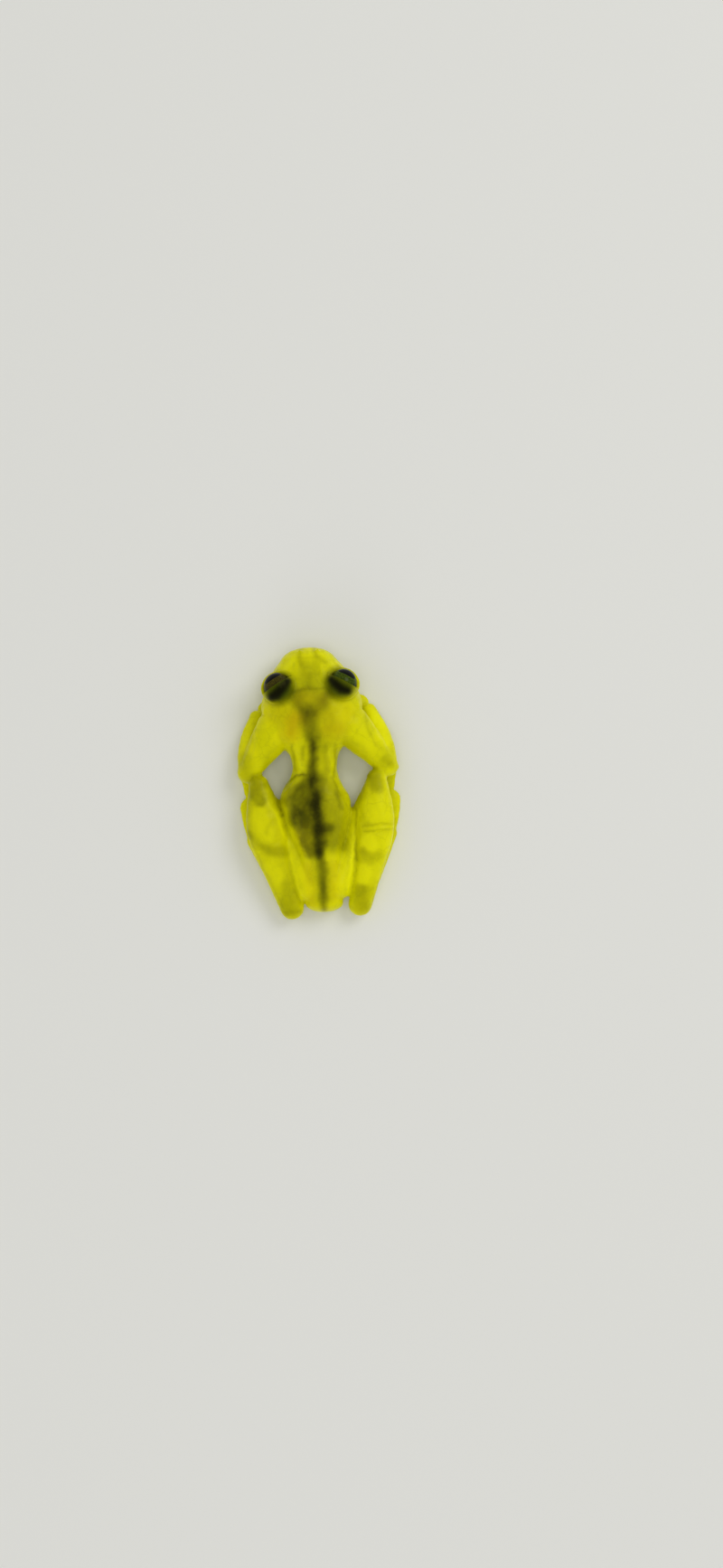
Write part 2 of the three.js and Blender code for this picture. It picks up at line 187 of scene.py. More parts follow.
def placed_section(centre, across, up, ahead, wide, high, low):
    """The two matrices that set a unit ring at a centre with a half width, height and depth."""
    turn = Matrix((across, ahead, up)).transposed().to_4x4()
    place = Matrix.Translation(centre) @ turn
    return (place @ Matrix.Diagonal((wide, 1, high, 1)), place @ Matrix.Diagonal((wide, 1, low, 1)))


def trunk(bm):
    """Head and torso in one form, from the tip of the snout to the rump."""
    length = TRUNK[-1][0]
    columns = list(zip(*TRUNK))

    def section(share):
        y, wide, top, mid, low, lean = (smooth_run(column, share) for column in columns)
        full = max(END_SHARE, min(fullness(y, SNOUT_ROUND), fullness(length - y, RUMP_ROUND)))
        axes = Vector((1, 0, 0)), Vector((0, 0, 1)), Vector((0, 1, 0))
        return placed_section((lean, y, mid), *axes, full * wide, full * (top - mid), full * (mid - low))

    grown(bm, section, rings=64, sides=48, squareness=TRUNK_SQUARENESS)


def limb(bm, side, start, end, form, rings=26, sides=24):
    """A round-ended limb from joint to joint, with its widths, heights and bow as the form says."""
    wide, high, bow_out, bow_up = form
    a = Vector((side * start[0], start[1], start[2]))
    b = Vector((side * end[0], end[1], end[2]))
    ahead = (b - a).normalized()
    across = Vector((0, 0, 1)).cross(ahead).normalized()
    up = ahead.cross(across)
    outwards = Vector((side * abs(ahead.y), 0, 0))
    length = (b - a).length
    round_a, round_b = wide[0], wide[-1]
    whole = length + round_a + round_b

    def section(share):
        distance = share * whole
        at = min(1, max(0, (distance - round_a) / length))
        full = min(fullness(distance, round_a), fullness(whole - distance, round_b))
        bow = math.sin(math.pi * at)
        centre = a + ahead * (distance - round_a) + outwards * bow_out * bow
        centre.z += bow_up * bow
        half_wide = full * smooth_run(wide, at)
        half_high = full * smooth_run(high, at)
        return placed_section(centre, -across, up, ahead, half_wide, half_high, half_high)

    grown(bm, section, rings, sides)


def ball(bm, centre, radii, u_segments=24, v_segments=16, turn=None):
    made = bmesh.ops.create_uvsphere(bm, u_segments=u_segments, v_segments=v_segments, radius=1)["verts"]
    place = Matrix.Translation(centre) @ (turn or Matrix()) @ Matrix.Diagonal((*radii, 1))
    bmesh.ops.transform(bm, matrix=place, verts=made)
    return made


def gaze(side):
    """The direction in which an eye looks."""
    out, up = math.radians(GAZE_OUT), math.radians(GAZE_UP)
    return Vector((side * math.sin(out) * math.cos(up), -math.cos(out) * math.cos(up), math.sin(up)))


def eye_centre(side):
    return Vector((side * EYE_AT[0], *EYE_AT[1:]))


def cut_off(bm, plane_co, plane_no):
    """Cuts a closed body by a plane and keeps what lies on the side that its direction points to."""
    cut = bmesh.ops.bisect_plane(
        bm, geom=bm.verts[:] + bm.edges[:] + bm.faces[:], dist=1e-4,
        plane_co=plane_co, plane_no=plane_no, clear_inner=True,
    )
    rim = [g for g in cut["geom_cut"] if isinstance(g, bmesh.types.BMEdge)]
    bmesh.ops.contextual_create(bm, geom=rim)


def lid_opening(bm, side):
    """The wedge of air between the upper and the lower lid, out to just past their ball."""
    out = math.radians(GAZE_OUT)
    ahead = Vector((side * math.sin(out), -math.cos(out), 0))
    hinge = eye_centre(side) + ahead * LID_HINGE
    wedge = bmesh.new()
    ball(wedge, eye_centre(side), (LID_RADIUS + PAST_LID,) * 3, 64, 48)
    for inwards in (LID_UPPER - 90, LID_LOWER + 90):
        tilt = math.radians(inwards)
        cut_off(wedge, hinge, ahead * math.cos(tilt) + Vector((0, 0, math.sin(tilt))))
    pour(wedge, bm)


def mouth_height(y):
    """How high the line of the mouth lies, at a distance behind the tip of the snout."""
    back = np.maximum(y, 0)
    return MOUTH_HEIGHT - MOUTH_DROP * back * (MOUTH_CORNER - back)


def mouth_opening(bm):
    """A thin strip round the snout from corner to corner, where the lips part."""
    strip = bmesh.new()
    for more in (0, 2):
        ring = bmesh.ops.create_circle(strip, segments=120, radius=1)["verts"]
        size = Matrix.Diagonal((MOUTH_INSIDE[0] + more, MOUTH_INSIDE[1] + more, 1, 1))
        bmesh.ops.transform(strip, matrix=Matrix.Translation((0, MOUTH_CORNER, 0)) @ size, verts=ring)
    bmesh.ops.bridge_loops(strip, edges=strip.edges[:])
    geom = strip.verts[:] + strip.edges[:] + strip.faces[:]
    corner = (0, MOUTH_CORNER - 0.1, 0)
    bmesh.ops.bisect_plane(strip, geom=geom, plane_co=corner, plane_no=(0, 1, 0), clear_outer=True)
    for v in strip.verts:
        v.co.z = mouth_height(v.co.y) - MOUTH_GAP / 2
    raised = bmesh.ops.extrude_face_region(strip, geom=strip.faces[:])["geom"]
    raised = [g for g in raised if isinstance(g, bmesh.types.BMVert)]
    bmesh.ops.translate(strip, vec=(0, 0, MOUTH_GAP), verts=raised)
    pour(strip, bm)


def digit(bm, side, root, long, turn):
    """A finger or toe lying on the ground, with knuckles along it and a disc at its tip.
    Its turn is towards the midline, away from straight ahead."""
    angle = math.radians(turn)
    tip = (root[0] - math.sin(angle) * long, root[1] - math.cos(angle) * long, DIGIT_HEIGHT)
    form = (DIGIT_WIDTHS, [DIGIT_FLATNESS * w for w in DIGIT_WIDTHS], 0, DIGIT_ARCH)
    limb(bm, side, (*root, DIGIT_HEIGHT), tip, form, rings=22, sides=14)
    across = Matrix.Rotation(side * angle, 4, "Z")
    wide, high = DISC
    ball(bm, (side * tip[0], tip[1], high - DISC_SUNK), (wide, 0.85 * wide, high), 16, 10, across)
    return Vector(tip)


def hand(bm, side, joints):
    """A palm flat on the ground, with four fingers."""
    x, y = joints["palm"]
    turn = math.radians(HAND_TURN)
    ball(bm, (side * x, y, PALM_HEIGHT), PALM_RADII, turn=Matrix.Rotation(side * turn, 4, "Z"))
    root = (x - FINGER_ROOT * math.sin(turn), y - FINGER_ROOT * math.cos(turn))
    for long, spread in FINGERS:
        digit(bm, side, root, long, HAND_TURN + spread)


def web(bm, side, root, tip_a, tip_b):
    """The thin skin stretched between two toes, hollowed along its free edge."""
    root = Vector((root[0], root[1], 0))
    a = root + (tip_a.xy.to_3d() - root) * WEB_SHARE
    b = root + (tip_b.xy.to_3d() - root) * WEB_SHARE
    middle = root * 0.2 + (a + b) * 0.4
    corners = [bm.verts.new((side * p.x, p.y, WEB_HEIGHT)) for p in (root, a, middle, b)]
    face = bmesh.ops.contextual_create(bm, geom=corners)["faces"]
    raised = bmesh.ops.extrude_face_region(bm, geom=face)["geom"]
    raised = [g for g in raised if isinstance(g, bmesh.types.BMVert)]
    bmesh.ops.translate(bm, vec=(0, 0, WEB_THICK), verts=raised)


def foot(bm, side, joints):
    """A sole flat on the ground, with five toes and webs between them."""
    instep, root = joints["instep"], joints["toe_root"]
    back = (instep[0], instep[1] - 0.5, SOLE_HEIGHT)
    limb(bm, side, back, (root[0], root[1] + 0.4, SOLE_HEIGHT), SOLE)
    tips = [digit(bm, side, root, long, turn) for long, turn in TOES]
    for tip_a, tip_b in zip(tips, tips[1:]):
        web(bm, side, root, tip_a, tip_b)


# Making and finishing

def pour(source, bm):
    """Adds all of one shape to another."""
    passing = bpy.data.meshes.new("passing")
    source.to_mesh(passing)
    source.free()
    bm.from_mesh(passing)
    bpy.data.meshes.remove(passing)


def new_object(name, bm):
    """Makes an object of a shape."""
    mesh = bpy.data.meshes.new(name)
    bm.to_mesh(mesh)
    bm.free()
    thing = bpy.data.objects.new(name, mesh)
    bpy.context.scene.collection.objects.link(thing)
    return thing


def apply_modifiers(thing):
    """Puts what the modifiers make of a piece in place of its mesh."""
    bpy.context.view_layer.update()
    seen = thing.evaluated_get(bpy.context.evaluated_depsgraph_get())
    finished = bpy.data.meshes.new_from_object(seen)
    thing.modifiers.clear()
    old, thing.data = thing.data, finished
    bpy.data.meshes.remove(old)


def fused_flesh():
    """Every form of the body in one mesh, fused into a single closed skin."""
    bm = bmesh.new()
    trunk(bm)
    for side, joints in LIMBS.items():
        ball(bm, eye_centre(side), (LID_RADIUS,) * 3, 40, 28)
        ball(bm, (side * CHEEK_AT[0], *CHEEK_AT[1:]), CHEEK_RADII)
        ball(bm, (side * EARDRUM_AT[0], *EARDRUM_AT[1:]), (0.3, EARDRUM_RADIUS, EARDRUM_RADIUS))
        ball(bm, (side * NOSTRIL_AT[0], *NOSTRIL_AT[1:]), (0.3, 0.3, 0.3))
        limb(bm, side, joints["shoulder"], joints["elbow"], UPPER_ARM)
        limb(bm, side, joints["elbow"], joints["wrist"], FOREARM)
        limb(bm, side, joints["hip"], joints["knee"], THIGH)
        limb(bm, side, joints["knee"], joints["ankle"], SHANK, rings=34)
        limb(bm, side, joints["heel"], joints["instep"], TARSUS)
        hand(bm, side, joints)
        foot(bm, side, joints)
    bmesh.ops.recalc_face_normals(bm, faces=bm.faces)
    flesh = new_object("skin", bm)
    fuse = flesh.modifiers.new("fuse", "REMESH")
    fuse.mode = "VOXEL"
    fuse.voxel_size = VOXEL
    apply_modifiers(flesh)
    return flesh


def smoothed(bm, verts, times):
    """Evens out dents and joins: each round moves points inwards, then back out by a hair more."""
    for _ in range(times):
        for factor in (0.5, -0.52):
            bmesh.ops.smooth_vert(
                bm, verts=verts, factor=factor, use_axis_x=True, use_axis_y=True, use_axis_z=True,
            )


# Relief: places where the skin swells (+) or sinks (-) along its own direction.
# Each is a centre, the half sizes of its soft ball, and its height at the middle.
SWELLINGS = (
    ((1.25, 1.7, 4.9), (0.35, 1.3, 0.4), 0.1),  # ridge from nostril to eye
    ((2.2, 1.6, 3.9), (0.6, 0.9, 0.55), -0.14),  # hollow in front of the eye
    ((0, 2.6, 5.8), (0.9, 1.3, 0.6), -0.08),  # dip between the eyes
    ((4.5, 6.3, 3.0), (0.8, 1.0, 0.8), 0.1),  # corner of the jaw
    ((2.5, 7.9, 5.3), (0.8, 1.3, 0.8), 0.12),  # shoulder blade
    ((0.9, 9.6, 5.6), (0.25, 2.2, 0.6), 0.06),  # muscle along the backbone
    ((1.35, 16.6, 4.9), (0.4, 1.6, 0.8), 0.1),  # hip bones under the skin
    ((0.55, 20.6, 4.2), (0.3, 2.6, 0.6), 0.07),  # muscles beside the tail bone
    ((0, 24.4, 3.0), (0.9, 0.8, 0.8), 0.08),  # seat
)
# Lines drawn in the skin, seen from above: points with a half width, the depth, and the lowest
# height that they reach down to.
FOLDS = (
    (((3.8, 13.7, 0.1), (2.9, 12.95, 0.12), (2.0, 12.15, 0.1), (1.3, 11.9, 0.04)), -0.14, 1.5),
    (((-2.0, 12.9, 0.05), (-2.35, 13.7, 0.1), (-2.9, 14.8, 0.1), (-3.1, 15.6, 0.05)), -0.1, 1.5),
    (((1.95, 9.7, 0.05), (1.9, 10.6, 0.1), (1.75, 11.5, 0.05)), -0.08, 3.0),
    (((-1.8, 9.8, 0.05), (-1.75, 10.7, 0.1), (-1.6, 11.7, 0.05)), -0.08, 3.0),
    (((-4.2, 17.0, 0.05), (-5.6, 17.25, 0.1), (-7.2, 17.0, 0.05)), -0.1, 1.5),
    (((-4.4, 17.6, 0.05), (-5.8, 17.8, 0.1), (-7.3, 17.7, 0.05)), -0.08, 1.5),
    (((4.0, 18.2, 0.05), (5.4, 18.6, 0.1), (6.8, 18.4, 0.05)), -0.06, 1.5),
    (((5.9, 7.4, 0.04), (5.6, 8.6, 0.08), (6.1, 9.9, 0.04)), -0.06, 0.8),
    (((-6.1, 7.2, 0.04), (-5.5, 8.5, 0.08), (-6.4, 10.0, 0.04)), -0.06, 0.8),
    (((6.6, 12.2, 0.04), (7.3, 12.7, 0.08)), -0.05, 0.5),
)
FOLD_SOFT = 0.22
UNEVEN = 0.03  # how far the skin wanders from an even surface
FINE_BELOW = 0.85  # height under which only hands and feet lie, which are softened less
SHARP_ANGLE = 48  # degrees from which an edge stays crisp


def eased(x):
    """A soft step from 0 to 1."""
    x = np.clip(x, 0, 1)
    return x * x * (3 - 2 * x)


def on_line(points, places, soft):
    """How strongly each place lies on a line of (x, y, half width) points, seen from above."""
    best = np.zeros(len(places))
    for (ax, ay, aw), (bx, by, bw) in zip(points, points[1:]):
        run = np.array((bx - ax, by - ay))
        at = np.clip(((places - (ax, ay)) @ run) / (run @ run + 1e-9), 0, 1)
        away = np.linalg.norm(places - (ax, ay) - at[:, None] * run, axis=1)
        half = aw + (bw - aw) * at
        best = np.maximum(best, eased((half - away + 1.35 * soft) / (1.7 * soft)))
    return best


def arrays(mesh):
    """The place and direction of every point of a mesh."""
    place, facing = (np.empty(3 * len(mesh.vertices)) for _ in range(2))
    mesh.vertices.foreach_get("co", place)
    mesh.vertex_normals.foreach_get("vector", facing)
    return place.reshape(-1, 3), facing.reshape(-1, 3)


def carved(body, cutter):
    """Cuts closed shapes out of a body."""
    bmesh.ops.recalc_face_normals(cutter, faces=cutter.faces)
    tool = new_object("cutter", cutter)
    cut = body.modifiers.new("cut", "BOOLEAN")
    cut.object, cut.operation, cut.solver = tool, "DIFFERENCE", "MANIFOLD"
    apply_modifiers(body)
    bpy.data.objects.remove(tool)


def carve_face(flesh):
    """Opens the eyes between their lids, the mouth between its lips, and the nostrils."""
    between, body, sockets, slits = (bmesh.new() for _ in range(4))
    trunk(body)
    mouth_opening(slits)
    for side in LIMBS:
        lid_opening(between, side)
        ball(sockets, eye_centre(side), (EYE_RADIUS + SOCKET_GAP,) * 3, 64, 48)
        nostril = (side * NOSTRIL_AT[0] * 1.12, NOSTRIL_AT[1] - 0.2, NOSTRIL_AT[2] + 0.12)
        ball(slits, nostril, (0.13, 0.22, 0.1), 20, 14, Matrix.Rotation(side * 0.5, 4, "Z"))
    bmesh.ops.recalc_face_normals(between, faces=between.faces)
    openings = new_object("openings", between)
    carved(openings, body)
    bm = bmesh.new()
    bm.from_mesh(openings.data)
    bpy.data.objects.remove(openings)
    for cutter in (bm, sockets, slits):
        carved(flesh, cutter)

    bm = bmesh.new()
    bm.from_mesh(flesh.data)
    rims = []
    for v in bm.verts:
        from_eye = min((v.co - eye_centre(side)).length for side in LIMBS)
        at_lid = EYE_RADIUS + 0.05 < from_eye < LID_RADIUS + 0.25 and v.co.z > EYE_AT[2] - LID_RADIUS
        at_lip = v.co.y < MOUTH_CORNER and abs(v.co.z - mouth_height(v.co.y)) < 0.12
        if at_lip or at_lid:
            rims.append(v)
    smoothed(bm, rims, 4)
    for edge in bm.edges:
        edge.smooth = edge.calc_face_angle(0) < math.radians(SHARP_ANGLE)
    bm.to_mesh(flesh.data)
    bm.free()


def shaped(flesh):
    """Softens the joins between the forms, then gives the skin its swellings, folds and mouth."""
    bm = bmesh.new()
    bm.from_mesh(flesh.data)
    smoothed(bm, [v for v in bm.verts if v.co.z < FINE_BELOW], 3)
    smoothed(bm, [v for v in bm.verts if v.co.z >= FINE_BELOW], 14)
    bm.to_mesh(flesh.data)
    bm.free()

    place, facing = arrays(flesh.data)
    height = np.zeros(len(place))
    for centre, reach, tall in SWELLINGS:
        for side in (1, -1) if centre[0] else (1,):
            offset = (place - (side * centre[0], *centre[1:])) / reach
            height += tall * np.exp(-(offset**2).sum(axis=1))
    for points, deep, lowest in FOLDS:
        drawn = on_line(points, place[:, :2], FOLD_SOFT) * (place[:, 2] > lowest)
        height += deep * drawn * np.clip(facing[:, 2] + 0.3, 0, 1)
    mouth = np.abs(place[:, 2] - mouth_height(place[:, 1]))
    front = eased((MOUTH_CORNER - place[:, 1]) / 0.5) * (np.abs(place[:, 0]) < 5) * (mouth < 1)
    height += front * LIP_TALL * np.exp(-(((mouth - LIP_AWAY) / LIP_REACH) ** 2))
    coarse = np.array([noise.noise(Vector(p) * 1.7) for p in place])
    fine = np.array([noise.noise(Vector(p) * 3.4) for p in place])
    height += UNEVEN * (coarse + 0.5 * fine)
    place = place + facing * height[:, None]
    place[:, 2] = np.maximum(place[:, 2], 0)
    flesh.data.vertices.foreach_set("co", place.ravel())
    flesh.data.update()


# Markings, seen through the back from above, with painted light and painted shade among them
# Lines of (x, y, half width) points, how strong each is, and how softly its edge fades.
# The strength of a dark one is the share of brightness that it takes away, as the eye sees it.
DARK = (
    (((0.75, 0.2, 0.0), (0.85, 1.0, 0.0), (0.75, 1.7, -0.05)), 0.13, 0.35),  # nose
    (((-0.5, 0.2, 0.0), (-0.75, 0.9, 0.0), (-1.5, 1.5, 0.0)), 0.13, 0.35),
    (((0.9, 0.9, -0.1), (0.0, 1.0, -0.12), (-0.9, 0.95, -0.1)), 0.12, 0.22),
    (((0.05, 2.2, 0.5), (0.05, 3.4, 0.9), (0.1, 5.0, 1.0)), 0.16, 0.9),  # inside of the skull
    (((0.1, 2.6, 0.05), (0.05, 3.7, 0.0)), 0.09, 0.35),
    (((1.5, 4.1, 0.0), (0.2, 3.9, -0.08), (-1.35, 4.0, -0.08)), 0.17, 0.3),
    (((1.6, 4.2, 0.1), (1.25, 5.3, 0.2), (0.8, 6.0, 0.1)), 0.17, 0.6),
    (((-1.7, 4.4, 0.1), (-1.2, 5.4, 0.15), (-0.6, 6.0, 0.1)), 0.17, 0.6),
    (((-1.2, 5.8, 0.6), (-1.2, 8.4, 0.7)), 0.09, 1.0),
    (((0.2, 6.1, 0.35), (0.35, 7.0, 0.4), (0.3, 7.8, 0.35), (0.1, 8.6, 0.2), (0.0, 9.6, -0.1)),
     0.39, 0.65),  # neck
    # along the backbone
    (((0.1, 8.2, -0.6), (-0.02, 9.6, 0.0), (0.15, 10.9, 0.12), (0.25, 11.7, 0.18), (0.2, 12.6, 0.18),
      (0.15, 13.4, 0.14), (0.2, 14.6, 0.18), (0.15, 16.0, 0.16), (0.0, 17.4, 0.24), (0.0, 18.4, 0.24),
      (0.05, 19.4, 0.12)), 0.46, 0.55),
    (((0.0, 8.8, 0.3), (0.2, 12.4, 0.4)), 0.16, 0.9),
    (((0.2, 11.4, -0.1), (0.2, 12.6, 0.1), (0.15, 14.6, 0.08), (0.0, 16.2, 0.1), (0.0, 18.4, 0.2),
      (0.05, 19.6, 0.0)), 0.3, 0.45),
    (((0.05, 19.4, 0.0), (-0.1, 20.4, 0.12), (-0.1, 21.4, 0.14), (-0.1, 22.8, 0.08), (-0.1, 24.8, -0.1)),
     0.4, 0.55),
    (((-0.05, 20.4, 0.4), (0.0, 23.6, 0.3)), 0.12, 0.8),
    # what the belly holds, darkest left of the backbone
    (((0.8, 12.7, 0.4), (1.2, 14.0, 1.0), (1.15, 16.2, 1.05), (0.9, 18.0, 0.75), (0.7, 19.2, 0.3)),
     0.37, 0.65),
    (((-0.7, 12.6, 0.2), (-0.9, 14.6, 0.5), (-1.0, 17.0, 0.6), (-1.3, 18.6, 0.3)), 0.24, 0.9),
    (((-0.5, 12.6, 0.05), (-0.5, 15.6, 0.05), (-0.8, 17.3, 0.15), (-0.5, 18.4, 0.0)), 0.2, 0.5),
    (((0.9, 13.6, 0.3), (1.2, 14.5, 0.6), (1.3, 15.8, 0.6)), 0.2, 0.8),
    (((2.1, 15.1, 0.1), (1.4, 15.5, 0.3), (0.7, 15.3, 0.3)), 0.24, 0.65),
    (((2.25, 15.0, 0.0), (2.15, 16.7, 0.0)), 0.15, 0.55),
    (((1.3, 16.7, 0.3), (1.2, 17.6, 0.2)), 0.14, 0.5),
    (((1.7, 12.9, 0.2), (2.3, 13.4, 0.3), (2.9, 14.2, 0.2)), 0.2, 0.5),
    (((1.75, 18.0, -0.15), (1.0, 19.6, -0.05)), 0.2, 0.5),
    (((-0.6, 17.2, 0.15), (-1.15, 17.3, 0.05)), 0.25, 0.5),
    (((2.9, 14.2, 0.15), (2.7, 16.4, 0.1)), 0.16, 0.6),
    (((-2.2, 14.2, 0.2), (-2.3, 15.8, 0.2), (-2.4, 19.0, 0.2)), 0.16, 0.6),
    (((-1.6, 12.4, -0.1), (-2.0, 14.2, -0.05), (-2.3, 15.4, -0.1)), 0.2, 0.35),
    (((-0.6, 14.5, -0.13), (-1.0, 14.6, -0.12), (-1.2, 14.9, -0.14)), 0.24, 0.22),
    (((-1.2, 14.4, -0.13), (-1.7, 14.5, -0.13)), 0.22, 0.22),
    # fine vessels at the waist, and painted shade along the waist's folds and the crease of the left leg
    (((2.05, 9.1, -0.1), (1.95, 10.5, -0.08), (1.8, 11.7, -0.1)), 0.24, 0.3),
    (((1.0, 9.4, -0.05), (1.1, 10.4, -0.1)), 0.18, 0.35),
    (((-1.1, 9.6, 0.1), (-1.0, 11.6, 0.1)), 0.14, 0.45),
    (((-2.0, 9.3, -0.1), (-1.95, 11.0, -0.1), (-1.75, 12.2, -0.12)), 0.24, 0.3),
    (((3.85, 13.65, -0.1), (3.0, 13.0, -0.05), (2.4, 12.4, -0.06), (1.8, 12.0, -0.08), (1.0, 12.0, -0.12)),
     0.46, 0.26),
    (((3.6, 9.2, 0.0), (4.6, 10.6, 0.0)), 0.08, 0.5),
    (((-3.3, 9.4, 0.2), (-4.6, 10.3, 0.1)), 0.1, 0.6),
    # knees and lower legs
    (((5.3, 13.4, 0.9), (5.4, 17.0, 1.3), (4.0, 21.0, 1.0), (3.3, 24.4, 0.6)), 0.07, 0.8),
    (((-5.4, 13.4, 0.9), (-5.6, 17.0, 1.3), (-4.6, 21.0, 0.8), (-3.8, 24.4, 0.6)), 0.06, 0.8),
    (((5.6, 12.3, 0.5), (5.6, 13.6, 0.6), (5.3, 14.2, 0.4)), 0.19, 0.4),
    (((4.5, 12.6, 0.0), (3.9, 14.2, 0.0), (3.4, 15.6, -0.05)), 0.2, 0.45),
    (((-5.5, 12.3, 0.4), (-5.7, 13.4, 0.5)), 0.2, 0.45),
    (((-4.7, 12.5, 0.0), (-4.1, 14.0, 0.1), (-3.6, 15.2, 0.0)), 0.22, 0.5),
    (((6.8, 13.4, 0.2), (6.9, 16.2, 0.1), (6.6, 17.6, 0.0)), 0.1, 0.5),
    # painted shade along a crease across the left leg
    (((6.6, 17.3, 0.0), (5.8, 18.4, 0.05), (4.9, 18.9, 0.25), (3.4, 19.1, 0.3)), 0.14, 0.45),
    (((5.0, 17.4, -0.1), (4.3, 16.0, -0.1)), 0.08, 0.4),
    (((3.4, 22.2, 0.2), (3.2, 23.6, 0.5), (2.9, 24.8, 0.6)), 0.11, 0.5),
    (((2.2, 24.9, 0.0), (3.6, 25.1, 0.0)), 0.1, 0.3),
    # painted shade along two creases across the right leg
    (((-4.2, 17.2, -0.1), (-5.8, 17.0, -0.1), (-7.2, 17.2, -0.1)), 0.16, 0.25),
    (((-4.4, 17.7, -0.12), (-5.9, 17.6, -0.1), (-7.2, 17.7, -0.1)), 0.18, 0.22),
    (((-4.0, 19.7, 0.1), (-4.7, 20.2, 0.25), (-5.4, 19.9, 0.1)), 0.12, 0.5),
    (((-3.6, 23.2, 0.35), (-3.6, 24.8, 0.5)), 0.13, 0.45),
    # painted shade along the seams where the legs' parts meet
    (((-3.65, 15.4, -0.05), (-3.45, 17.6, -0.08), (-3.35, 20.4, -0.05)), 0.2, 0.26),
    (((-6.4, 19.8, -0.1), (-5.3, 22.8, -0.1), (-4.7, 24.8, -0.1)), 0.14, 0.22),
    (((6.9, 15.8, -0.1), (6.2, 18.8, -0.1), (4.6, 22.6, -0.1), (3.8, 24.4, -0.1)), 0.12, 0.24),
    # arms
    (((6.7, 10.4, 0.2), (6.5, 11.9, 0.2)), 0.14, 0.8),
    (((-6.6, 11.0, 0.1), (-7.0, 11.3, 0.1)), 0.15, 0.5),
    # painted shade along the edges where the upper arms meet the forearms
    (((-5.0, 6.4, -0.1), (-5.2, 8.2, -0.08), (-5.9, 9.6, -0.1)), 0.12, 0.3),
    (((5.6, 7.0, -0.1), (5.9, 8.4, -0.1), (6.4, 9.8, -0.1)), 0.1, 0.4),
)
PALE = (
    (((0.0, 0.0, 0.1), (-0.05, 0.5, 0.0), (-0.05, 1.0, -0.15)), 0.35, 0.3),  # tip of the snout
    (((1.7, 1.2, 0.1), (2.3, 1.9, 0.1)), 0.3, 0.5),
    (((-1.4, 0.7, 0.1), (-2.5, 1.7, 0.1)), 0.5, 0.5),
    (((0.0, 1.3, 0.05), (-0.1, 2.0, 0.2)), 0.35, 0.3),
    (((2.0, 1.3, 0.3), (3.0, 2.0, 0.2)), 0.3, 0.4),
    (((0.8, 3.3, 0.3),) * 2, 0.2, 0.3),
    (((-0.65, 3.3, 0.3),) * 2, 0.2, 0.3),
    (((-0.25, 4.9, 0.55),) * 2, 0.3, 0.25),
    (((-1.8, 7.3, 0.4),) * 2, 0.14, 0.6),
    (((1.95, 9.2, -0.12), (1.6, 10.2, -0.08), (1.3, 11.3, -0.05)), 0.75, 0.26),  # streaks at the waist
    (((2.8, 9.2, -0.1), (2.4, 10.0, -0.1), (2.15, 11.0, -0.12)), 0.5, 0.26),
    (((-1.4, 9.5, -0.12), (-1.5, 11.3, -0.08)), 0.7, 0.24),
    (((-1.9, 9.6, -0.12), (-2.6, 9.5, -0.1)), 0.5, 0.26),
    (((-1.5, 12.0, -0.14), (-2.3, 14.0, -0.12), (-3.0, 15.3, -0.14)), 0.4, 0.26),
    (((2.5, 12.9, -0.1), (1.4, 12.3, -0.1)), 0.35, 0.3),
    (((5.5, 15.5, 0.6), (4.9, 17.2, 0.55)), 0.42, 0.32),  # muscles of the lower legs
    (((4.4, 17.2, 0.2), (4.7, 17.9, 0.1)), 0.2, 0.4),
    (((6.1, 18.8, 0.3), (5.9, 19.5, 0.25)), 0.35, 0.35),
    (((4.6, 20.7, 0.6), (4.1, 21.6, 0.4)), 0.35, 0.4),
    (((-4.8, 15.0, 0.4), (-5.0, 16.1, 0.5)), 0.5, 0.3),
    (((-6.2, 14.9, 0.3), (-6.5, 16.2, 0.3)), 0.45, 0.4),
    (((-4.6, 18.6, 0.6), (-5.0, 19.0, 0.5)), 0.65, 0.3),
    (((-6.4, 18.4, 0.2), (-6.2, 19.4, 0.2)), 0.5, 0.35),
    (((-4.1, 21.3, 0.5), (-4.0, 22.2, 0.45)), 0.65, 0.3),
    (((1.4, 20.7, 0.4), (1.1, 23.2, 0.3)), 0.3, 0.7),  # rump and thighs
    (((-1.4, 20.4, 0.4), (-1.2, 23.4, 0.3)), 0.45, 0.7),
    # painted light: the thin outer strips of the forearms and legs, and the seams between the legs' parts,
    # are painted paler
    (((6.1, 6.6, 0.2), (6.6, 8.6, 0.2)), 0.2, 0.6),  # forearms
    (((-5.6, 6.2, 0.3), (-6.4, 7.6, 0.4), (-6.9, 9.4, 0.2)), 0.6, 0.5),
    (((4.9, 13.7, -0.12), (4.0, 15.6, -0.1), (3.0, 18.3, -0.06), (2.6, 21.0, -0.08), (1.9, 24.2, -0.1)),
     0.75, 0.26),
    (((-4.9, 12.7, -0.12), (-3.9, 15.6, -0.08), (-3.2, 19.0, -0.05), (-2.8, 21.2, 0.0), (-2.3, 23.8, 0.0)),
     0.85, 0.28),
    (((-6.4, 20.3, -0.1), (-5.1, 23.0, -0.1), (-4.6, 24.9, -0.1)), 0.6, 0.25),
    (((7.2, 13.2, 0.0), (7.1, 17.0, 0.0), (5.3, 22.2, 0.0)), 0.25, 0.4),
    (((-7.6, 13.2, 0.1), (-7.5, 16.8, 0.1), (-5.6, 22.2, 0.0)), 0.5, 0.4),
    # painted light: broad paler areas over the legs and the right arm, stronger on the right side
    (((-6.4, 13.4, 0.8), (-6.4, 17.0, 0.9), (-5.0, 21.6, 0.6)), 0.55, 0.8),
    (((6.2, 16.6, 0.6), (5.6, 19.8, 0.5), (4.0, 22.6, 0.5)), 0.35, 0.8),
    (((-3.4, 6.2, 0.7), (-5.0, 9.0, 0.7)), 0.25, 0.9),
)
